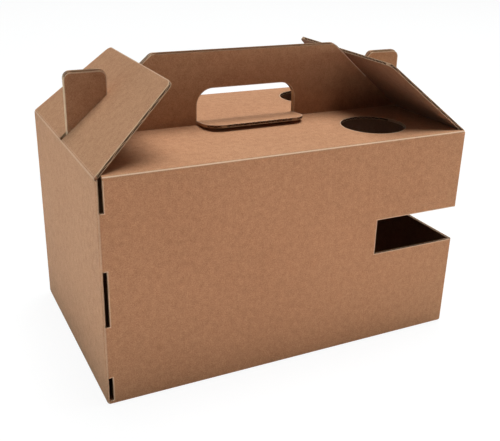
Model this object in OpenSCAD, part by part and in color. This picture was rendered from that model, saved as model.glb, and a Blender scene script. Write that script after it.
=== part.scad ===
// Bottle carrier box: one folded blank of corrugated board, in millimetres.
// Origin at the middle of the base, X to the right, Y to the back, Z up.

/* [Box] */
// Outside length of the box
BOX_LENGTH = 400; // [340:1:480]
// Outside depth of the box
BOX_DEPTH = 250; // [220:1:300]
// Height of the roof above the floor
BOX_HEIGHT = 230; // [210:1:320]
// Thickness of the corrugated board
BOARD = 3; // [2.5:0.1:4]

/* [Handle] */
// Height of the handle above the roof
HANDLE_RISE = 77; // [72:1:86]
// Radius of the handle's upper corners
HANDLE_CORNER = 8; // [4:1:14]
// Gap between the two handle panels
PLY_GAP = 0.2; // [0.1:0.05:0.5]
// How far the front handle panel and ears end below the rear ones
PLY_STEP = 1.4; // [0:0.1:2]
// Length of the finger hole
GRIP_LENGTH = 116; // [90:1:140]
// Height of the finger hole's upper edge above the roof
GRIP_RISE = 38; // [32:1:46]
// Radius of the finger hole's upper corners
GRIP_CORNER = 18; // [8:1:20]
// Angle of the finger flap above level
GRIP_TILT = 5; // [3:0.5:10]
// Height of the finger flap's crease above the roof
GRIP_LIFT = 1; // [0.8:0.1:2]

/* [Ears] */
// Distance of the ear from the box's end
EAR_INSET = 6.5; // [4.5:0.5:8]
// Width of the ear
EAR_WIDTH = 41.5; // [34:1:46]
// Height of the ear above the roof
EAR_RISE = 65; // [62:1:70]
// Radius of the ear's corners
EAR_CORNER = 7; // [5:1:14]

/* [Side flaps] */
// Angle of the side flaps above level
FLAP_ANGLE = 41; // [39:0.5:44]
// Length of a side flap from its crease
FLAP_LENGTH = 106; // [98:1:112]
// Narrowing of the side flap at each end of its free edge
FLAP_TAPER = 28; // [20:1:40]
// Radius of the side flap's free corners
FLAP_CORNER = 9; // [4:1:16]

/* [Openings] */
// Distance of the bottle hole's centre from the right end
HOLE_FROM_END = 81; // [70:1:90]
// Distance of the bottle hole's centre from the front and back
HOLE_FROM_FRONT = 56; // [54:1:60]
// Radius of the bottle hole
HOLE_RADIUS = 34.5; // [28:0.5:36]
// Length of the corner window along the front and back walls
WINDOW_FRONT = 105; // [60:1:120]
// Length of the corner window along the right wall
WINDOW_SIDE = 102; // [60:1:104]
// Height of the corner window's lower edge
WINDOW_LOW = 105; // [80:1:110]
// Height of the corner window
WINDOW_RISE = 39; // [20:1:50]

/* [Slit corner] */
// Width of the slits along the front left corner
SLIT_WIDTH = 4.6; // [4:0.1:5]
// Height of the foot of the lowest slit
SLIT_LOW_FOOT = 5; // [4.5:0.5:10]
// Height of the top of the lowest slit
SLIT_LOW_TOP = 30; // [20:1:40]
// Height of the foot of the middle slit
SLIT_MID_FOOT = 85; // [75:1:95]
// Height of the top of the middle slit
SLIT_MID_TOP = 141; // [130:1:150]
// Height of the foot of the uppermost slit
SLIT_HIGH_FOOT = 197; // [185:1:203]

/* [Glued corner] */
// Width of the glue flap inside the left wall
GLUE_WIDTH = 35; // [25:1:40]
// Slope of the glue flap's ends over its width
GLUE_BEVEL = 12; // [8:1:16]

/* [Cut edges] */
// Distance from one flute of the board to the next
FLUTE_PITCH = 6.4; // [5.5:0.1:9]
// Thickness of the paper on each face of the board
LINER = 0.4; // [0.3:0.05:0.5]
// Thickness of the fluted paper
FLUTE_PAPER = 0.35; // [0.25:0.05:0.45]
// Depth to which the flutes are open at a cut edge
FLUTE_DEPTH = 6; // [2:0.5:10]

/* [Base] */
// Reach of the front base panel
TONGUE_REACH = 118; // [105:1:120]
// Reach of the rear base panel
REAR_REACH = 150; // [140:1:165]
// Reach of the two side base panels
SIDE_REACH = 130; // [110:1:135]
// Run over which a side base panel rises by one board
SIDE_RAMP = 33; // [25:1:38]
// Run over which the rear base panel rises by two boards
REAR_RAMP = 13; // [11:0.5:16]
// Width of the tongue on the front base panel
TONGUE_WIDTH = 220; // [180:1:230]
// Width of the notch in the rear base panel
NOTCH_WIDTH = 120; // [80:1:140]
// Depth of the notch in the rear base panel
NOTCH_DEPTH = 45; // [25:1:50]

/* [Hidden] */
$fn = 96;
CLEAR = 0.2;
REST_GAP = 0.15;
EDGE_CLEAR = 0.4;
PAST = 1;
FOLD = BOARD;
HALF = BOARD / 2;
ROOF_INSET = BOARD + FOLD + CLEAR;
HANDLE_Y = BOX_DEPTH / 2 - PLY_GAP / 2 - BOARD;
WALL_TOP = BOX_HEIGHT - BOARD - CLEAR;
AXIS_Z = BOX_HEIGHT - HALF;
// slanted handle end: its distance below the middle plane of the side flap
END_OFFSET = HALF + REST_GAP;
EAR_END = EAR_INSET + EAR_WIDTH;
EAR_TOP = BOX_HEIGHT + EAR_RISE;
EAR_LOW = BOX_HEIGHT + HALF;
// the slot in a side flap lets the ear's far corner through
EAR_REACH = norm([EAR_END - EAR_CORNER - HALF, EAR_TOP - EAR_CORNER - AXIS_Z]) + EAR_CORNER;
SLOT_END = EAR_REACH + EDGE_CLEAR;
SLOT_WIDTH = 2 * BOARD + PLY_GAP + 2 * CLEAR;
FLAP_EDGE = BOARD + CLEAR;
FLAP_LEAN = atan(FLAP_TAPER / FLAP_LENGTH);
FLAP_ARC_S = FLAP_LENGTH - FLAP_CORNER;
FLAP_ARC_Y = FLAP_EDGE + (FLAP_CORNER + FLAP_ARC_S * sin(FLAP_LEAN)) / cos(FLAP_LEAN);
GRIP_FOOT = BOX_HEIGHT + GRIP_LIFT - CLEAR;
GRIP_AXIS_Z = GRIP_FOOT + CLEAR + HALF;
GRIP_X = (BOX_LENGTH - GRIP_LENGTH) / 2;
GRIP_FLAP_LENGTH = BOX_HEIGHT + GRIP_RISE - EDGE_CLEAR - GRIP_AXIS_Z;
// base panels: each lies one board above the one below it
LAYER = BOARD + CLEAR;
MITRE = SIDE_RAMP + BOARD;
// hollow between the fluted paper and one face: half widths at its foot and crest
HOLLOW_FOOT = 0.38 * FLUTE_PITCH;
HOLLOW_CREST = 0.12 * FLUTE_PITCH;
HOLLOW_RISE = BOARD - 2 * LINER - FLUTE_PAPER;
KRAFT = [0.68, 0.5, 0.36];

carrier_body();
left_side_flap();
right_side_flap();
grip_flap();

// centre of a handle panel's upper corner, for a panel that ends drop below the rear one
function arc_rise(drop) = HANDLE_RISE - drop + HALF - HANDLE_CORNER;
function arc_x(drop) =
    HALF + (HANDLE_CORNER + END_OFFSET + arc_rise(drop) * cos(FLAP_ANGLE)) / sin(FLAP_ANGLE);

// lays out from the front left corner of the base
module from_corner() {
    translate([-BOX_LENGTH / 2, -BOX_DEPTH / 2, 0]) children();
}

module mirror_back() {
    translate([0, BOX_DEPTH, 0]) mirror([0, 1, 0]) children();
}

module mirror_end() {
    translate([BOX_LENGTH, 0, 0]) mirror([1, 0, 0]) children();
}

// turns an outline drawn in X and Z into a board that is BOARD thick along Y
module upright(y) {
    translate([0, y + BOARD, 0]) rotate([90, 0, 0]) linear_extrude(BOARD) children();
}

// turns a section drawn in Y and Z into a strip along X
module along_x(x, length) {
    translate([x, 0, 0]) rotate([90, 0, 90]) linear_extrude(length) children();
}

// quarter of a disc with its corner at the origin, in the quadrant given by sx and sy
module quarter(sx, sy) {
    intersection() {
        circle(r = FOLD);
        translate([sx < 0 ? -FOLD : 0, sy < 0 ? -FOLD : 0]) square(FOLD);
    }
}

// ends of the hollows beside the fluted paper, from low to high along a cut edge
module flute_hollows(low, high, middle) {
    half_pitch = FLUTE_PITCH / 2;
    first = ceil((low + HOLLOW_FOOT - middle) / half_pitch - 0.5);
    last = floor((high - HOLLOW_FOOT - middle) / half_pitch - 0.5);
    for (n = [first : last])
        translate([middle + (n + 0.5) * half_pitch, HALF]) flute_hollow(n % 2 == 0 ? 1 : -1);
}

// side = 1 has its foot on the board's near face, side = -1 on the far one
module flute_hollow(side) {
    foot = HALF - LINER;
    polygon([
        [-HOLLOW_FOOT, -side * foot],
        [HOLLOW_FOOT, -side * foot],
        [HOLLOW_CREST, side * (HOLLOW_RISE - foot)],
        [-HOLLOW_CREST, side * (HOLLOW_RISE - foot)]
    ]);
}

// opens the flutes in the upper edge of an upright panel, from x = low to x = high
module upright_flutes(low, high, top) {
    translate([0, HANDLE_Y, top - FLUTE_DEPTH]) linear_extrude(FLUTE_DEPTH + PAST)
        flute_hollows(low, high, BOX_LENGTH / 2);
}

// what a rounded fold leaves out of a square corner at the origin
module spandrel() {
    difference() {
        translate([-PAST, -PAST]) square(FOLD + PAST);
        translate([FOLD, FOLD]) circle(r = FOLD);
    }
}

module wall_ring() {
    translate([0, 0, FOLD]) linear_extrude(WALL_TOP - FOLD) difference() {
        square([BOX_LENGTH, BOX_DEPTH]);
        translate([BOARD, BOARD]) square([BOX_LENGTH - 2 * BOARD, BOX_DEPTH - 2 * BOARD]);
        spandrel();
        mirror_end() spandrel();
        mirror_end() mirror_back() spandrel();
        mirror_back() glued_groove();
    }
}

// rear wall's rounded fold beside the raw edge of the left wall
module glued_groove() {
    difference() {
        translate([BOARD - CLEAR / 2, -PAST]) square([CLEAR + FOLD, FOLD + PAST]);
        translate([BOARD + CLEAR / 2 + FOLD, FOLD]) circle(r = FOLD);
    }
}

// leaf of the rear wall, drawn at the front, that is glued inside the left wall
module glue_flap() {
    translate([BOARD, 0, 0]) rotate([90, 0, 90]) linear_extrude(BOARD) polygon([
        [BOARD, GLUE_BEVEL],
        [BOARD + GLUE_WIDTH, 2 * GLUE_BEVEL],
        [BOARD + GLUE_WIDTH, WALL_TOP - 2 * GLUE_BEVEL],
        [BOARD, WALL_TOP - GLUE_BEVEL]
    ]);
}

// ball that closes a folded corner of the box
module corner_ball(z, low) {
    intersection() {
        translate([BOX_LENGTH - FOLD, FOLD, z]) sphere(r = FOLD);
        translate([BOX_LENGTH - FOLD, 0, low ? z - FOLD : z]) cube(FOLD);
    }
}

// roof, its folds and one handle panel, cut from the same panel as the front wall
module front_top(drop) {
    handle_top = BOX_HEIGHT + HANDLE_RISE - drop;
    ear_top = EAR_TOP - drop;
    straight = BOX_LENGTH - ROOF_INSET - FOLD;
    roof = BOX_LENGTH - 2 * ROOF_INSET;
    along_x(ROOF_INSET, straight) {
        translate([FOLD, BOX_HEIGHT - FOLD]) quarter(-1, 1);
        translate([0, WALL_TOP - FOLD]) square([BOARD, BOX_HEIGHT - WALL_TOP]);
    }
    along_x(ROOF_INSET, roof) {
        translate([FOLD, BOX_HEIGHT - BOARD]) square([HANDLE_Y - FOLD, BOARD]);
        translate([HANDLE_Y, BOX_HEIGHT]) quarter(1, -1);
    }
    corner_ball(BOX_HEIGHT - FOLD, false);
    translate([BOX_LENGTH - FOLD, FOLD, WALL_TOP - FOLD])
        linear_extrude(BOX_HEIGHT - WALL_TOP) quarter(1, -1);
    difference() {
        upright(HANDLE_Y) difference() {
            union() {
                handle_outline(drop, handle_top);
                ear_outline(ear_top);
                mirror_end() ear_outline(ear_top);
            }
            grip_outline(0);
        }
        upright_flutes(arc_x(drop), BOX_LENGTH - arc_x(drop), handle_top);
        upright_flutes(EAR_INSET + EAR_CORNER, EAR_END - EAR_CORNER, ear_top);
        upright_flutes(BOX_LENGTH - EAR_END + EAR_CORNER, BOX_LENGTH - EAR_INSET - EAR_CORNER, ear_top);
    }
}

module handle_outline(drop, top) {
    middle_x = arc_x(drop);
    middle_z = AXIS_Z + arc_rise(drop);
    translate([middle_x, middle_z]) circle(r = HANDLE_CORNER);
    translate([BOX_LENGTH - middle_x, middle_z]) circle(r = HANDLE_CORNER);
    foot_x = HALF + (END_OFFSET + HALF * cos(FLAP_ANGLE)) / sin(FLAP_ANGLE);
    side_x = middle_x - HANDLE_CORNER * sin(FLAP_ANGLE);
    side_z = middle_z + HANDLE_CORNER * cos(FLAP_ANGLE);
    polygon([
        [foot_x, BOX_HEIGHT],
        [BOX_LENGTH - foot_x, BOX_HEIGHT],
        [BOX_LENGTH - side_x, side_z],
        [BOX_LENGTH - middle_x, middle_z],
        [BOX_LENGTH - middle_x, top],
        [middle_x, top],
        [middle_x, middle_z],
        [side_x, side_z]
    ]);
}

module ear_outline(top) {
    translate([EAR_INSET + EAR_CORNER, top - EAR_CORNER]) circle(r = EAR_CORNER);
    translate([EAR_END - EAR_CORNER, top - EAR_CORNER]) circle(r = EAR_CORNER);
    polygon([
        [ROOF_INSET, BOX_HEIGHT],
        [EAR_END, BOX_HEIGHT],
        [EAR_END, top - EAR_CORNER],
        [EAR_END - EAR_CORNER, top - EAR_CORNER],
        [EAR_END - EAR_CORNER, top],
        [EAR_INSET + EAR_CORNER, top],
        [EAR_INSET + EAR_CORNER, top - EAR_CORNER],
        [EAR_INSET, top - EAR_CORNER],
        [EAR_INSET, EAR_LOW]
    ]);
}

// finger hole, or with a clearance the flap that was cut from it
module grip_outline(clear) {
    radius = GRIP_CORNER - clear;
    arc_z = BOX_HEIGHT + GRIP_RISE - GRIP_CORNER;
    low = clear > 0 ? GRIP_AXIS_Z : GRIP_FOOT;
    translate([GRIP_X + GRIP_CORNER, arc_z]) circle(r = radius);
    translate([BOX_LENGTH - GRIP_X - GRIP_CORNER, arc_z]) circle(r = radius);
    translate([GRIP_X + clear, low]) square([GRIP_LENGTH - 2 * clear, arc_z - low]);
    translate([GRIP_X + GRIP_CORNER, low]) square([GRIP_LENGTH - 2 * GRIP_CORNER, arc_z + radius - low]);
}

// fold along the foot of the front wall
module front_foot() {
    along_x(ROOF_INSET, BOX_LENGTH - ROOF_INSET - FOLD) translate([FOLD, FOLD]) quarter(-1, -1);
    corner_ball(FOLD, true);
}

// the front left corner is creased, so its foot is closed like the right ones
module front_left_foot() {
    mirror_end() corner_ball(FOLD, true);
    along_x(FOLD, ROOF_INSET - FOLD) translate([FOLD, FOLD]) quarter(-1, -1);
}

// fold along the foot of a side wall
module side_foot() {
    translate([0, BOX_DEPTH - FOLD, 0]) rotate([90, 0, 0]) linear_extrude(BOX_DEPTH - 2 * FOLD)
        translate([FOLD, FOLD]) quarter(-1, -1);
}

// lowest base panel, with the tongue that locks the base
module tongue_panel() {
    middle = BOX_LENGTH / 2;
    low_x = MITRE + CLEAR;
    linear_extrude(BOARD) polygon([
        [ROOF_INSET, FOLD],
        [BOX_LENGTH - ROOF_INSET, FOLD],
        [BOX_LENGTH - low_x, low_x],
        [BOX_LENGTH - low_x, TONGUE_REACH / 2],
        [middle + TONGUE_WIDTH / 2, TONGUE_REACH],
        [middle - TONGUE_WIDTH / 2, TONGUE_REACH],
        [low_x, TONGUE_REACH / 2],
        [low_x, low_x]
    ]);
}

module side_panel() {
    intersection() {
        translate([0, BOX_DEPTH, 0]) rotate([90, 0, 0]) linear_extrude(BOX_DEPTH) polygon([
            [FOLD, 0],
            [MITRE, LAYER],
            [SIDE_REACH, LAYER],
            [SIDE_REACH, LAYER + BOARD],
            [MITRE, LAYER + BOARD],
            [FOLD, BOARD]
        ]);
        translate([0, 0, -PAST]) linear_extrude(LAYER + BOARD + 2 * PAST) polygon([
            [FOLD, 2 * FOLD],
            [MITRE, MITRE + FOLD],
            [SIDE_REACH, BOX_DEPTH / 2 - REAR_RAMP],
            [SIDE_REACH, BOX_DEPTH - 2 * MITRE],
            [FOLD, BOX_DEPTH - 2 * FOLD - REAR_RAMP]
        ]);
    }
}

// uppermost base panel, notched for the tongue
module rear_panel() {
    top = 2 * LAYER;
    middle = BOX_LENGTH / 2;
    intersection() {
        along_x(0, BOX_LENGTH) polygon([
            [BOX_DEPTH - FOLD, 0],
            [BOX_DEPTH - FOLD, BOARD],
            [BOX_DEPTH - FOLD - REAR_RAMP, top + BOARD],
            [BOX_DEPTH - REAR_REACH, top + BOARD],
            [BOX_DEPTH - REAR_REACH, top],
            [BOX_DEPTH - FOLD - REAR_RAMP, top]
        ]);
        translate([0, 0, -PAST]) linear_extrude(top + BOARD + 2 * PAST) difference() {
            polygon([
                [2 * FOLD, BOX_DEPTH],
                [BOX_LENGTH - 2 * FOLD, BOX_DEPTH],
                [BOX_LENGTH - MITRE, BOX_DEPTH - REAR_REACH - PAST],
                [MITRE, BOX_DEPTH - REAR_REACH - PAST]
            ]);
            translate([middle - NOTCH_WIDTH / 2, BOX_DEPTH - REAR_REACH - PAST])
                square([NOTCH_WIDTH, NOTCH_DEPTH]);
        }
    }
}

// window that runs round a right-hand corner of the walls
module corner_window() {
    translate([BOX_LENGTH - WINDOW_FRONT, -PAST, WINDOW_LOW])
        cube([WINDOW_FRONT + PAST, BOARD + 2 * PAST, WINDOW_RISE]);
    translate([BOX_LENGTH - BOARD - PAST, -PAST, WINDOW_LOW])
        cube([BOARD + 2 * PAST, WINDOW_SIDE + PAST, WINDOW_RISE]);
}

module bottle_hole() {
    translate([BOX_LENGTH - HOLE_FROM_END, HOLE_FROM_FRONT, BOX_HEIGHT - BOARD - PAST])
        cylinder(r = HOLE_RADIUS, h = BOARD + 2 * PAST);
}

// slit along the crease between the front and left walls
module slit(low, high) {
    translate([ROOF_INSET - SLIT_WIDTH, -PAST, low]) cube([SLIT_WIDTH, BOARD + 2 * PAST, high - low]);
}

module carrier_body() {
    color(KRAFT) from_corner() difference() {
        union() {
            wall_ring();
            mirror_back() glue_flap();
            front_top(PLY_STEP);
            mirror_back() front_top(0);
            front_left_foot();
            front_foot();
            mirror_back() front_foot();
            side_foot();
            mirror_end() side_foot();
            tongue_panel();
            side_panel();
            mirror_end() side_panel();
            rear_panel();
        }
        corner_window();
        mirror_back() corner_window();
        bottle_hole();
        mirror_back() bottle_hole();
        slit(SLIT_LOW_FOOT, SLIT_LOW_TOP);
        slit(SLIT_MID_FOOT, SLIT_MID_TOP);
        slit(SLIT_HIGH_FOOT, WALL_TOP + PAST);
    }
}

module flap_outline() {
    tangent_s = FLAP_ARC_S + FLAP_CORNER * sin(FLAP_LEAN);
    tangent_y = FLAP_ARC_Y - FLAP_CORNER * cos(FLAP_LEAN);
    translate([FLAP_ARC_S, FLAP_ARC_Y]) circle(r = FLAP_CORNER);
    translate([FLAP_ARC_S, BOX_DEPTH - FLAP_ARC_Y]) circle(r = FLAP_CORNER);
    polygon([
        [0, FLAP_EDGE],
        [tangent_s, tangent_y],
        [FLAP_ARC_S, FLAP_ARC_Y],
        [FLAP_LENGTH, FLAP_ARC_Y],
        [FLAP_LENGTH, BOX_DEPTH - FLAP_ARC_Y],
        [FLAP_ARC_S, BOX_DEPTH - FLAP_ARC_Y],
        [tangent_s, BOX_DEPTH - tangent_y],
        [0, BOX_DEPTH - FLAP_EDGE]
    ]);
}

module side_flap() {
    translate([HALF, 0, AXIS_Z]) rotate([0, -FLAP_ANGLE, 0]) difference() {
        union() {
            translate([0, 0, -HALF]) linear_extrude(BOARD) flap_outline();
            translate([0, FLAP_EDGE, 0]) rotate([-90, 0, 0])
                cylinder(r = HALF, h = BOX_DEPTH - 2 * FLAP_EDGE);
        }
        translate([-HALF - PAST, (BOX_DEPTH - SLOT_WIDTH) / 2, -HALF - PAST])
            cube([SLOT_END + HALF + PAST, SLOT_WIDTH, BOARD + 2 * PAST]);
        translate([0, 0, -HALF]) along_x(FLAP_LENGTH - FLUTE_DEPTH, FLUTE_DEPTH + PAST)
            flute_hollows(FLAP_ARC_Y, BOX_DEPTH - FLAP_ARC_Y, BOX_DEPTH / 2);
    }
}

module left_side_flap() {
    color(KRAFT) from_corner() side_flap();
}

module right_side_flap() {
    color(KRAFT) from_corner() mirror_end() side_flap();
}

module grip_flap() {
    axis_y = HANDLE_Y + HALF;
    color(KRAFT) from_corner() translate([0, axis_y, GRIP_AXIS_Z]) rotate([90 - GRIP_TILT, 0, 0])
        translate([0, -axis_y, -GRIP_AXIS_Z]) {
            difference() {
                upright(HANDLE_Y) grip_outline(EDGE_CLEAR);
                upright_flutes(GRIP_X + GRIP_CORNER, BOX_LENGTH - GRIP_X - GRIP_CORNER,
                    GRIP_AXIS_Z + GRIP_FLAP_LENGTH);
            }
            translate([GRIP_X + EDGE_CLEAR, axis_y, GRIP_AXIS_Z]) rotate([0, 90, 0])
                cylinder(r = HALF, h = GRIP_LENGTH - 2 * EDGE_CLEAR);
        }
}
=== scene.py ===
import math
from itertools import product
import bpy
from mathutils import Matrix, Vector


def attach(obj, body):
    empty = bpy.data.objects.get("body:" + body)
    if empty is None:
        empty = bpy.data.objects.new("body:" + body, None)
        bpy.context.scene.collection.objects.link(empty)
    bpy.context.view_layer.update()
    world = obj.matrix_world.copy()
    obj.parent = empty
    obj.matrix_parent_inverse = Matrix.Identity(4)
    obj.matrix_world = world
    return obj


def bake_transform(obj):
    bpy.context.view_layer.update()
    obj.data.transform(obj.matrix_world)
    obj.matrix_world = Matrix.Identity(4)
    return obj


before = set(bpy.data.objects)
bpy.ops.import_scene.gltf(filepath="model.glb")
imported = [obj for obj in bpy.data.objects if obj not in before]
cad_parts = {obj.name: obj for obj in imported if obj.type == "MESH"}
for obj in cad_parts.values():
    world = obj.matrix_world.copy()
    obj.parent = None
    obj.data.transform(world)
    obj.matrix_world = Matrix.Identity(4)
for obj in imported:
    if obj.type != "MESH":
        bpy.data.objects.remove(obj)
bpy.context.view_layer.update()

# Carrier body
# Walls, roof halves, handle panels with ears and base are one blank of single-wall
# corrugated board, die-cut, creased, folded and glued along the rear left corner.
# Two brown kraft liners hold a fluted paper, which shows at every cut edge.
metre = 1000.0
box_length, box_depth, box_height = 400.0, 250.0, 230.0
board, liner = 3.0, 0.4
flute_pitch, wave_height, wave_half = 6.4, 0.92, 0.26
ply_gap, rest_gap = 0.2, 0.15
fold_inset = 6.2
handle_top, front_drop = 307.0, 1.4
ear_inset, ear_end, ear_top, ear_corner = 6.5, 48.0, 295.0, 7.0
grip_half, grip_top, grip_corner = 58.0, 268.0, 18.0
hole_x, hole_y, hole_radius = 119.0, 69.0, 34.5
window_front, window_side, window_low, window_top = 105.0, 102.0, 105.0, 144.0
slit_left, slit_right = -198.4, -193.8
slits = ((5.0, 30.0), (85.0, 141.0), (197.0, 230.0))
flap_lean = math.radians(41.0)

# The paper's colours, and each pattern's size, detail and shares of the tone and the relief.
kraft_dark, kraft_light = (0.345, 0.151, 0.072), (0.545, 0.277, 0.147)
# The inner liner's colours are darker than the outer's, as painted shade.
shaded_inner_dark, shaded_inner_light = (0.20, 0.088, 0.043), (0.34, 0.168, 0.09)
# The pale paper is partly paper rubbed by the die and the creases, and partly painted highlight.
rub_and_highlight_paper, cut_paper = (0.70, 0.48, 0.33), (0.60, 0.40, 0.25)
flute_paper, flute_shade = (0.40, 0.24, 0.14), (0.035, 0.017, 0.009)
fibre_size, fibre_detail, fibre_share, fibre_relief = 1.2, 4.0, 1.1, 0.6
grain_size, grain_detail, grain_share, grain_relief = 0.6, 1.0, 1.1, 0.3
cloud_size, cloud_detail, cloud_share = 6.0, 3.0, 0.8
drift_size, drift_detail, drift_share = 110.0, 0.0, 0.25
bar_share, bar_relief, tone_drop = 0.012, 0.1, 1.125
# How the fibres streak the pale paper, which is partly rubbed and partly painted highlight, and darken the
# cut edges in streaks.
rub_and_highlight_streaks, rub_and_highlight_base, edge_streaks = 0.6, 0.45, 0.3

# Limits that tell one face or panel from the next, then the rims and how strongly each is painted pale,
# partly as rubbed paper and partly as painted highlight.
mostly, squarely = 0.5, 0.9
fold_turn, corner_turn = (0.58, 0.86), (0.35, 0.8)
on_face, near, wall_margin, roof_margin = 0.05, 1.0, 0.1, 0.15
base_top = 12.0
rim_width, slant_rim_width, end_band = 0.8, 1.28, 0.5
slant_rub_and_highlight, corner_rub_and_highlight, fold_rub_and_highlight = 2.0, 0.4, 1.6


class Reading:
    """A number that the shader reads at each point, worked with as a plain number is."""

    def __init__(self, socket):
        self.socket = socket

    def work(self, operation, *others):
        tree = self.socket.id_data
        step = tree.nodes.new("ShaderNodeMath")
        step.operation = operation
        for slot, value in zip(step.inputs, (self, *others)):
            if isinstance(value, Reading):
                tree.links.new(value.socket, slot)
            else:
                slot.default_value = value
        return Reading(step.outputs[0])

    def __add__(self, other):
        return self.work("ADD", other)

    def __sub__(self, other):
        return self.work("SUBTRACT", other)

    def __mul__(self, other):
        return self.work("MULTIPLY", other)

    def __gt__(self, other):
        return self.work("GREATER_THAN", other)

    def __lt__(self, other):
        return self.work("LESS_THAN", other)

    def __and__(self, other):
        return self.work("MULTIPLY", other)

    def __or__(self, other):
        return self.work("MAXIMUM", other)

    def __invert__(self):
        return self.work("MULTIPLY_ADD", -1.0, 1.0)

    def __abs__(self):
        return self.work("ABSOLUTE")

    def between(self, low, high):
        return (self > low) & (self < high)

    def past(self, start):
        """How far the number is past start, and 0 before it."""
        return (self - start).work("MAXIMUM", 0.0)


def distance(first, second):
    """Length of the straight line over two lengths at right angles."""
    return (first * first + second * second).work("SQRT")


def any_of(masks):
    """Mask that is 1 where at least one of the masks is."""
    first, *others = masks
    for mask in others:
        first = first | mask
    return first


class Place:
    """Where a point lies on a piece and which way it faces, in millimetres at rest."""

    def __init__(self, tree):
        self.tree = tree
        coordinates = tree.nodes.new("ShaderNodeTexCoord")
        self.point = self.scaled(coordinates.outputs["Object"], metre)
        self.facing = coordinates.outputs["Normal"]
        self.x, self.y, self.z = self.parts_of(self.point)
        self.up = self.parts_of(self.facing)[2] > mostly
        self.facing_x, self.facing_y, self.facing_z = [abs(part) for part in self.parts_of(self.facing)]

    def scaled(self, vector, factor):
        longer = self.tree.nodes.new("ShaderNodeVectorMath")
        longer.operation = "SCALE"
        longer.inputs["Scale"].default_value = factor
        self.tree.links.new(vector, longer.inputs[0])
        return longer.outputs[0]

    def parts_of(self, vector):
        parts = self.tree.nodes.new("ShaderNodeSeparateXYZ")
        self.tree.links.new(vector, parts.inputs[0])
        return [Reading(part) for part in parts.outputs]

    def nowhere(self):
        """Mask that is 0 all over the piece."""
        return self.x * 0.0

    def along(self, vector, direction):
        """Length of a vector along a direction."""
        dot = self.tree.nodes.new("ShaderNodeVectorMath")
        dot.operation = "DOT_PRODUCT"
        self.tree.links.new(vector, dot.inputs[0])
        dot.inputs[1].default_value = direction
        return Reading(dot.outputs["Value"])

    def mottle(self, size, detail):
        """Noise with blotches about size millimetres across."""
        noise = self.tree.nodes.new("ShaderNodeTexNoise")
        noise.inputs["Scale"].default_value = 1.0
        noise.inputs["Detail"].default_value = detail
        self.tree.links.new(self.scaled(self.point, 1 / size), noise.inputs["Vector"])
        return Reading(noise.outputs["Fac"])


def tint(share, first, second):
    """Colour that goes from the first to the second as share goes from 0 to 1."""
    tree = share.socket.id_data
    mix = tree.nodes.new("ShaderNodeMix")
    mix.data_type = "RGBA"
    tree.links.new(share.socket, mix.inputs["Factor"])
    for slot, value in ((mix.inputs[6], first), (mix.inputs[7], second)):
        if isinstance(value, tuple):
            slot.default_value = (*value, 1.0)
        else:
            tree.links.new(value, slot)
    return mix.outputs[2]


def kraft_board(name):
    """A new material and the places on it."""
    material = bpy.data.materials.new(name)
    material.use_nodes = True
    return material, Place(material.node_tree)


def finish_board(place, cut, open_end, plain_edge, depth, across, shaded_inside, rub_and_highlight):
    """Kraft liner with the fluted core on its cut edges. depth is measured from the board's
    middle and across runs over the flutes. open_end is where real hollows show and plain_edge is
    cut along the flutes. The mask after these paints the inner liner darker, as painted shade.
    The last mask paints the paper pale, partly as paper rubbed by the die or a crease and partly
    as painted highlight where cut edges and folds catch the light."""
    fibres = place.mottle(fibre_size, fibre_detail)
    grain = place.mottle(grain_size, grain_detail)
    clouds = place.mottle(cloud_size, cloud_detail)
    drift = place.mottle(drift_size, drift_detail)
    bars = (across * (2 * math.pi / flute_pitch)).work("SINE")
    tone = fibres * fibre_share + grain * grain_share + clouds * cloud_share
    tone = tone + drift * drift_share + bars * bar_share - tone_drop
    # The inner liner is painted darker, as painted shade.
    paper = tint(shaded_inside, tint(tone, kraft_dark, kraft_light), tint(tone, shaded_inner_dark, shaded_inner_light))
    # Rims and folds are painted pale, partly as rubbed paper and partly as painted highlight.
    paper = tint(rub_and_highlight * (fibres * rub_and_highlight_streaks + rub_and_highlight_base), paper, rub_and_highlight_paper)

    on_liner = abs(depth) > board / 2 - liner
    on_wave = abs(depth - bars * wave_height) < wave_half
    core = tint(on_wave | open_end, flute_shade, flute_paper)
    edge = tint(on_liner | plain_edge, core, cut_paper)
    edge = tint(fibres * edge_streaks, edge, kraft_dark)
    colour = tint(cut, paper, edge)

    relief = fibres * fibre_relief + grain * grain_relief + bars * bar_relief
    bump = place.tree.nodes.new("ShaderNodeBump")
    bump.inputs["Strength"].default_value = 0.35
    bump.inputs["Distance"].default_value = 0.0002
    place.tree.links.new(relief.socket, bump.inputs["Height"])
    shader = place.tree.nodes["Principled BSDF"]
    shader.inputs["Roughness"].default_value = 0.85
    shader.inputs["Specular IOR Level"].default_value = 0.25
    place.tree.links.new(colour, shader.inputs["Base Color"])
    place.tree.links.new(bump.outputs[0], shader.inputs["Normal"])


def dress(node, material):
    """Gives a node of the frame its one material."""
    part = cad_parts[node]
    part.data.materials.clear()
    part.data.materials.append(material)


front_plane, side_plane = box_depth / 2 - board - wall_margin, box_length / 2 - board - wall_margin
wall_foot, wall_top = board + near, box_height - board - roof_margin
roof_middle = box_height - board / 2
end_middle, front_middle = (box_length - board) / 2, (box_depth - board) / 2
roof_half, ear_start = box_length / 2 - fold_inset + near, box_length / 2 - ear_end - near
ply_middle = (ply_gap + board) / 2

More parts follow.
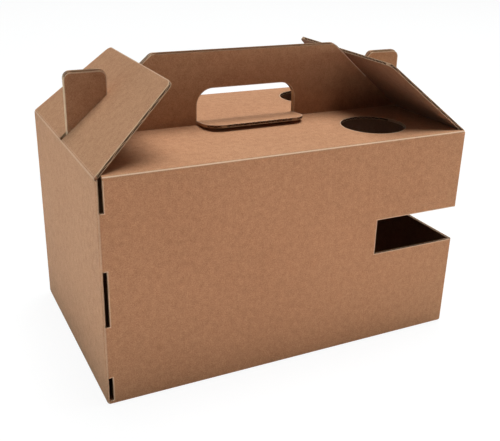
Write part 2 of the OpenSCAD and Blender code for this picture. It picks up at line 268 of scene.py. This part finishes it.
# The panel that a point lies on, and where it is cut board.
carrier_kraft, place = kraft_board("carrier_kraft")
from_middle, from_centre, height = abs(place.x), abs(place.y), place.z
faces_side = place.facing_x > mostly
faces_front = place.facing_y > mostly
faces_up = place.facing_z > mostly
in_handle = (height > box_height + on_face) & (from_centre < 2 * board)
in_roof = height.between(wall_top, box_height + on_face) & (from_centre < front_plane)
in_roof = in_roof & (from_middle < roof_half)
in_front = height.between(wall_foot, wall_top) & (from_centre > front_plane) & (from_middle < side_plane)
in_side = height.between(wall_foot, wall_top + on_face) & (from_middle > side_plane) & ~in_front
raw_corner = (place.x < -side_plane) & (place.y > box_depth / 2 - on_face) & faces_front
slit_side = (place.x > slit_left - on_face) & faces_side & (place.y < -front_plane) & (place.x < 0)
cut_side = in_side & (faces_up | raw_corner | slit_side | ((from_centre < front_plane) & ~faces_side))
cut = (in_handle & ~faces_front) | (in_roof & ~faces_up) | (in_front & ~faces_front) | cut_side
plain_edge = cut & ((place.facing_x > squarely) | (in_side & (place.facing_y > squarely)))

# How deep in its board it lies, and which way the flutes run there.
depth = in_handle * (from_centre * -1.0 + ply_middle)
depth = depth + in_roof * (height - roof_middle)
depth = depth + in_front * (from_centre - front_middle)
depth = depth + in_side * (from_middle - end_middle)
across = place.x + in_side * (place.y - place.x)
lifted = height + (place.y < 0) * front_drop
ear_end_open = (lifted > ear_top - end_band) & (from_middle > ear_start)
open_end = in_handle & ((lifted > handle_top - end_band) | ear_end_open)
# The inner liner and the base's upper face are painted darker, as painted shade.
side_inside = in_side & (from_centre < box_depth / 2 - board + on_face)
shaded_inside = (in_roof | in_front | side_inside) & (depth < 0)
shaded_inside = shaded_inside | (place.up & (height < base_top))

# Pale rims along the handle's slanted ends, the ears, the holes, the windows and the slits, partly paper
# rubbed by the die and partly painted highlight where the cut edges catch the light.
over_slant = (height - roof_middle) * math.cos(flap_lean)
over_slant = over_slant + (from_middle - end_middle) * math.sin(flap_lean)
slant_rim = (over_slant > -board / 2 - rest_gap - slant_rim_width) & (from_middle < ear_start)
ear_half = (ear_end - ear_inset) / 2
ear_across = abs(from_middle - (box_length / 2 - ear_inset - ear_half)).past(ear_half - ear_corner)
ear_rim = distance(ear_across, lifted.past(ear_top - ear_corner)) > ear_corner - rim_width
ear_rim = ear_rim & (from_middle > ear_start) & (over_slant > 0)
grip_reach = distance(from_middle.past(grip_half - grip_corner), height.past(grip_top - grip_corner))
grip_rim = grip_reach < grip_corner + rim_width
handle_rim = slant_rim * slant_rub_and_highlight | ear_rim | grip_rim
hole_reach = distance(place.x - hole_x, from_centre - hole_y)
in_window_band = height.between(window_low - rim_width, window_top + rim_width)
front_window_rim = in_window_band & (place.x > box_length / 2 - window_front - rim_width)
side_window_rim = in_window_band & (from_centre > box_depth / 2 - window_side - rim_width) & (place.x > 0)
slit_rim = (place.x < slit_right + rim_width) & (place.y < 0)
slit_rim = slit_rim & any_of(height.between(foot - rim_width, top + rim_width) for foot, top in slits)

# The folds along the roof's front and rear and up the slit corner are painted pale too, partly as paper
# rubbed by the fold and partly as painted highlight.
fold_line = place.facing_z.between(*fold_turn) & (from_centre > front_plane) & (height > wall_top)
fold_line = fold_line & (from_middle < box_length / 2 - near)
corner_line = place.facing_x.between(*corner_turn) & (place.x < -side_plane) & (place.y < -front_plane)
rub_and_highlight = in_handle & faces_front & handle_rim
rub_and_highlight = rub_and_highlight | (in_roof & faces_up & (hole_reach < hole_radius + rim_width))
rub_and_highlight = rub_and_highlight | (in_front & faces_front & (front_window_rim | slit_rim))
rub_and_highlight = rub_and_highlight | (in_side & faces_side & side_window_rim)
rub_and_highlight = rub_and_highlight | corner_line * corner_rub_and_highlight | fold_line * fold_rub_and_highlight
finish_board(place, cut, open_end, plain_edge, depth, across, shaded_inside, rub_and_highlight)
dress("carrier_body", carrier_kraft)

# Base corner
# The front base panel closes the foot of the front left corner, behind the lowest slit.
# Only this small corner of it is a piece of its own.
corner_right, corner_back, corner_foot, corner_top = -190.0, -112.0, 0.3, 2.9
block_faces = [(0, 1, 3, 2), (4, 6, 7, 5), (0, 4, 5, 1), (2, 3, 7, 6), (0, 2, 6, 4), (1, 5, 7, 3)]


def new_piece(name, points, faces, mirrored, material):
    """A mesh piece in the scene. A mirrored one has its faces turned round."""
    mesh = bpy.data.meshes.new(name)
    mesh.from_pydata(points, [], [face[::-1] for face in faces] if mirrored else faces)
    mesh.materials.append(material)
    piece = bpy.data.objects.new(name, mesh)
    bpy.context.scene.collection.objects.link(piece)
    return piece


places = product((-side_plane, corner_right), (-front_plane, corner_back), (corner_foot, corner_top))
points = [(x / metre, y / metre, z / metre) for x, y, z in places]
base_corner = new_piece("base_corner", points, block_faces, False, carrier_kraft)
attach(base_corner, "carrier")

# Side flaps
# Each flap hangs on a crease along the top of an end wall and leans inwards on the
# handle's sloping end, with the ear standing through its slot. Its flutes run from
# the crease to the free edge, where they are open.
flap_length, flap_taper, flap_corner, flap_edge = 106.0, 28.0, 9.0, 3.2
slot_end, slot_half = 78.8, 3.3
crease_band, crease_rub_and_highlight = (0.2, 0.9), 0.25
side_lean = math.atan(flap_taper / flap_length)
arc_along = flap_length - flap_corner
arc_in = flap_edge + (flap_corner + arc_along * math.sin(side_lean)) / math.cos(side_lean)
both_sides = (("left", -1), ("right", 1))
flap_materials = {}


def on_flap(side, along, across_flap, up):
    """Point of the scene for a place on the flap at rest, in metres."""
    x = end_middle - along * math.cos(flap_lean) + up * math.sin(flap_lean)
    z = roof_middle + along * math.sin(flap_lean) + up * math.cos(flap_lean)
    return (side * x / metre, across_flap / metre, z / metre)


for name, side in both_sides:
    material, place = kraft_board(f"{name}_flap_kraft")
    hinge = Vector((side * end_middle, 0, roof_middle))
    upward = Vector((side * math.sin(flap_lean), 0, math.cos(flap_lean)))
    outward = Vector((-side * math.cos(flap_lean), 0, math.sin(flap_lean)))
    depth = place.along(place.point, upward) - hinge.dot(upward)
    along = place.along(place.point, outward) - hinge.dot(outward)
    faces_out = abs(place.along(place.facing, upward)) > mostly
    from_edge = abs(place.y) * -1.0 + box_depth / 2
    past_side = along * math.sin(side_lean) - (from_edge - flap_edge) * math.cos(side_lean)
    arc_reach = distance(along.past(arc_along), (from_edge * -1.0 + arc_in).past(0.0))
    past_arc = (arc_reach > flap_corner - rim_width) & (along > arc_along)
    rim = (past_side > -rim_width) | (along > flap_length - rim_width) | past_arc
    # The flap's rims and the band beside its crease are painted pale, partly as rubbed paper and partly as
    # painted highlight.
    flap_rub_and_highlight = (rim & faces_out & (depth > 0)) | along.between(*crease_band) * crease_rub_and_highlight
    cut = ~faces_out & (along > board / 2 + on_face)
    free_edge = along > flap_length - end_band
    in_slot = cut & (abs(place.y) < slot_half + on_face)
    # The flap's inner liner, its underside, is painted darker, as painted shade.
    finish_board(place, cut, open_end=free_edge, plain_edge=in_slot, depth=depth, across=place.y,
                 shaded_inside=depth < 0, rub_and_highlight=flap_rub_and_highlight)
    dress(f"{name}_side_flap", material)
    flap_materials[name] = material

# Crease liners
# The outer liner runs on unbroken from the top of each end wall over the crease into
# its flap. It is the same paper, painted pale, partly as paper stretched and rubbed by the crease and
# partly as painted highlight where the crease catches the light.
crease_low, crease_high, crease_paper, crease_rows = 226.6, 229.0, 0.25, 7
bend_low, liner_rub_and_highlight = 226.8, 0.5
crease_half = box_depth / 2 - flap_edge

# Each row of the strip has two points on its outer face, then two on its inner face.
liner_faces = []
for row in range(crease_rows - 1):
    low, high = row * 4, row * 4 + 4
    liner_faces += [(low, low + 1, high + 1, high), (low + 3, low + 2, high + 2, high + 3)]
    liner_faces += [(low + 1, low + 3, high + 3, high + 1), (low + 2, low, high, high + 2)]
liner_faces += [(0, 2, 3, 1), (high, high + 1, high + 3, high + 2)]

for name, side in both_sides:
    material, place = kraft_board(f"{name}_crease_kraft")
    nowhere = place.nowhere()
    finish_board(place, cut=nowhere, open_end=nowhere, plain_edge=nowhere, depth=place.x, across=place.y,
                 shaded_inside=nowhere, rub_and_highlight=~nowhere * liner_rub_and_highlight)
    rows = [crease_low + (crease_high - crease_low) * row / (crease_rows - 1) for row in range(crease_rows)]
    places = product(rows, (box_length / 2, box_length / 2 - crease_paper), (-crease_half, crease_half))
    points = [(side * x / metre, y / metre, z / metre) for z, x, y in places]
    crease_liner = new_piece(f"{name}_crease_liner", points, liner_faces, side < 0, material)
    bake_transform(crease_liner)

# Slot tongues
# Beyond the ear the flap's slot is only a cut, and the board on both sides of it
# closes up again. It is the flap's own board.
tongue_start = 63.6

for name, side in both_sides:
    places = product((tongue_start, slot_end), (-slot_half, slot_half), (-board / 2, board / 2))
    points = [on_flap(side, along, across_flap, up) for along, across_flap, up in places]
    tongue = new_piece(f"{name}_slot_tongue", points, block_faces, side > 0, flap_materials[name])
    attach(tongue, f"{name}_flap")

# Finger flap
# The board cut from the front handle panel's finger hole stays on by its lower edge
# and is folded forward over the roof.
grip_lean = math.radians(5.0)
grip_lift, grip_clearance = 2.5, 0.4
material, place = kraft_board("grip_kraft")
hinge = Vector((0, -ply_middle, box_height + grip_lift))
upward = Vector((0, math.sin(grip_lean), math.cos(grip_lean)))
outward = Vector((0, -math.cos(grip_lean), math.sin(grip_lean)))
depth = place.along(place.point, upward) - hinge.dot(upward)
along = place.along(place.point, outward) - hinge.dot(outward)
faces_out = abs(place.along(place.facing, upward)) > mostly
grip_length = grip_top - grip_clearance - box_height - grip_lift
arc_along = grip_length + grip_clearance - grip_corner
arc_reach = distance(abs(place.x).past(grip_half - grip_corner), along.past(arc_along))
# The rim round its rounded corners is painted pale, partly as paper rubbed by the die and partly as painted
# highlight.
rim = (arc_reach > grip_corner - grip_clearance - rim_width) & faces_out
cut = ~faces_out & (along > board / 2 + on_face)
plain_edge = cut & (place.facing_x > squarely)
finish_board(place, cut, open_end=along > grip_length - end_band, plain_edge=plain_edge, depth=depth,
             across=place.x, shaded_inside=place.nowhere(), rub_and_highlight=rim)
dress("grip_flap", material)

# Studio
# A plain pale floor under plain soft light, with the camera where the photograph's was.
# The floor and the room show white only to the camera and in reflections.
floor_reach, floor_drop = 4.0, 0.0003
floor_white, glow_share, glow_strength = 0.9, 0.9, 1.02
floor_paint = bpy.data.materials.new("floor_paint")
floor_paint.use_nodes = True
tree = floor_paint.node_tree
paint = tree.nodes["Principled BSDF"]
paint.inputs["Base Color"].default_value = (floor_white, floor_white, floor_white, 1)
paint.inputs["Roughness"].default_value = 0.9
glow = tree.nodes.new("ShaderNodeEmission")
glow.inputs["Strength"].default_value = glow_strength


def seen_straight(tree):
    """1 for rays that look at the background, straight, in a gloss or through glass."""
    path = tree.nodes.new("ShaderNodeLightPath")
    seen = Reading(path.outputs["Is Camera Ray"]) | Reading(path.outputs["Is Glossy Ray"])
    return seen | Reading(path.outputs["Is Transmission Ray"])


def mix_shaders(tree, share, first, second, output):
    """Sends to the output the first shader, and by its share the second."""
    mixed = tree.nodes.new("ShaderNodeMixShader")
    tree.links.new(share.socket, mixed.inputs[0])
    tree.links.new(first.outputs[0], mixed.inputs[1])
    tree.links.new(second.outputs[0], mixed.inputs[2])
    tree.links.new(mixed.outputs[0], tree.nodes[output].inputs["Surface"])


mix_shaders(tree, seen_straight(tree) * glow_share, paint, glow, "Material Output")
points = [(x * floor_reach, y * floor_reach, 0) for x, y in ((-1, -1), (1, -1), (1, 1), (-1, 1))]
floor = new_piece("floor", points, [(0, 1, 2, 3)], False, floor_paint)
floor.location.z = -floor_drop

world = bpy.data.worlds.new("studio")
bpy.context.scene.world = world
world.use_nodes = True
tree = world.node_tree
room = tree.nodes["Background"]
room.inputs["Color"].default_value = (1, 1, 1, 1)
room.inputs["Strength"].default_value = 0.02
white = tree.nodes.new("ShaderNodeBackground")
white.inputs["Color"].default_value = (1, 1, 1, 1)
white.inputs["Strength"].default_value = 1.0
mix_shaders(tree, seen_straight(tree), room, white, "World Output")


def soft_lamp(name, place, target, size, power, colour, spread=180.0):
    """A square lamp that looks at target. Its spread is in degrees."""
    lamp = bpy.data.lights.new(name, "AREA")
    lamp.shape = "SQUARE"
    lamp.size = size
    lamp.energy = power
    lamp.color = colour
    lamp.spread = math.radians(spread)
    stand = bpy.data.objects.new(name, lamp)
    stand.location = place
    stand.rotation_euler = (Vector(target) - Vector(place)).to_track_quat("-Z", "Y").to_euler()
    bpy.context.scene.collection.objects.link(stand)


# The two floor lamps shine down on the floor beside the box, which throws it back on the walls.
box_middle = (0, 0, 0.15)
soft_lamp("top_lamp", (0.9, 0.5, 3.9), box_middle, size=2.6, power=190, colour=(1.0, 1.06, 1.08))
soft_lamp("right_lamp", (1.7, -0.75, 0.32), box_middle, size=0.5, power=10, colour=(0.76, 1.0, 0.92))
soft_lamp("left_lamp", (-1.8, 0.15, 0.28), box_middle, size=1.0, power=7.5, colour=(0.42, 0.93, 1.16))
soft_lamp("front_floor_lamp", (0.05, -0.64, 0.6), (0.05, -0.64, 0), size=0.5, power=2.6,
          colour=(1.0, 0.72, 0.66), spread=66)
soft_lamp("left_floor_lamp", (-0.72, 0, 0.6), (-0.72, 0, 0), size=0.5, power=4.0,
          colour=(0.95, 0.94, 0.92), spread=66)

scene_camera = bpy.data.cameras.new("camera")
scene_camera.sensor_width = 36.0
scene_camera.lens = 53.774
camera = bpy.data.objects.new("camera", scene_camera)
camera.location = (-0.3482, -0.7087, 0.4414)
camera.rotation_euler = [math.radians(angle) for angle in (67.297, -1.4129, -26.1678)]
bpy.context.scene.collection.objects.link(camera)
bpy.context.scene.camera = camera
bpy.context.scene.view_settings.view_transform = "Standard"
